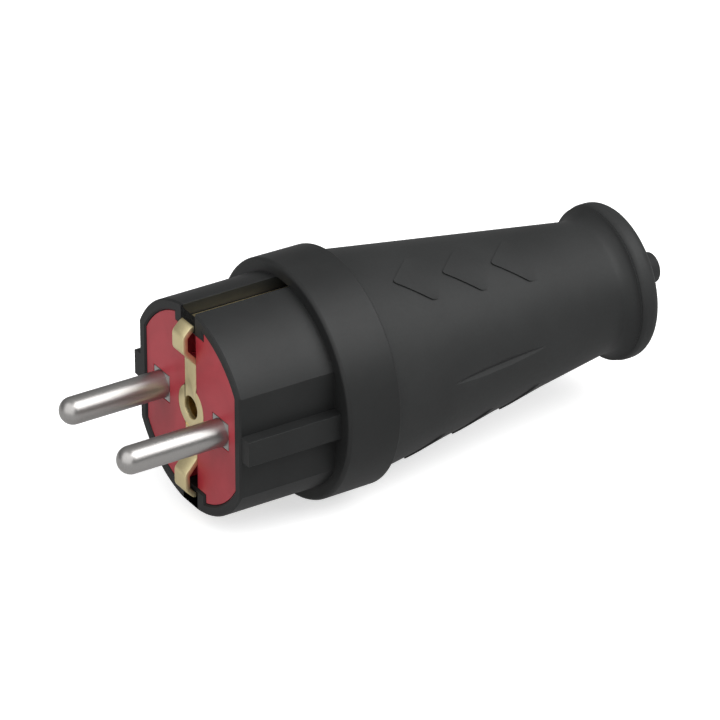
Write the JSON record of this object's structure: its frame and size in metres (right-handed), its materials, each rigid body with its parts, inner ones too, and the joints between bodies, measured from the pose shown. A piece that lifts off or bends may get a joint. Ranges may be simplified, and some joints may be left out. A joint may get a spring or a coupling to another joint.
{
  "type": "rubber power plug",
  "caption": "Two-pole mains plug with side earth contacts, flat-sided black nose, red contact face, collar and a conical rubber grip with a cable inlet at its rear.",
  "frame": {"origin": "centre of the plug's front face, where its nose meets the bottom of the socket's recess, on the plug's axis", "axes": "+X along the plug's axis towards the cable inlet, with the pins pointing to -X; +Y from the live pin to the neutral pin; +Z through the upper earth groove"},
  "size_m": [0.112, 0.042, 0.042],
  "materials": {
    "black_moulding": "fine matt moulding",
    "black_rubber": "matt rubber",
    "red_moulding": "satin moulding",
    "strap_brass": "pale rolled strip",
    "terminal_brass": "machined",
    "nickelled_pin": "nickel plated, polished",
    "zinc_steel": "zinc plated"
  },
  "bodies": {
    "root": {"front_housing": "black_moulding", "rubber_grip": "black_rubber", "contact_carrier": "red_moulding", "earth_strap": "strap_brass", "earth_terminal": "terminal_brass", "live_pin": "nickelled_pin", "neutral_pin": "nickelled_pin", "live_terminal_screw": "zinc_steel", "neutral_terminal_screw": "zinc_steel", "earth_terminal_screw": "zinc_steel", "live_clamp_plate": "zinc_steel", "neutral_clamp_plate": "zinc_steel", "earth_clamp_plate": "zinc_steel", "terminal_cover": "black_moulding", "centre_screw": "zinc_steel", "centre_nut": "zinc_steel", "cord_saddle": "black_moulding", "saddle_screw_left": "zinc_steel", "saddle_screw_right": "zinc_steel", "saddle_nut_left": "zinc_steel", "saddle_nut_right": "zinc_steel"}
  },
  "joints": []
}
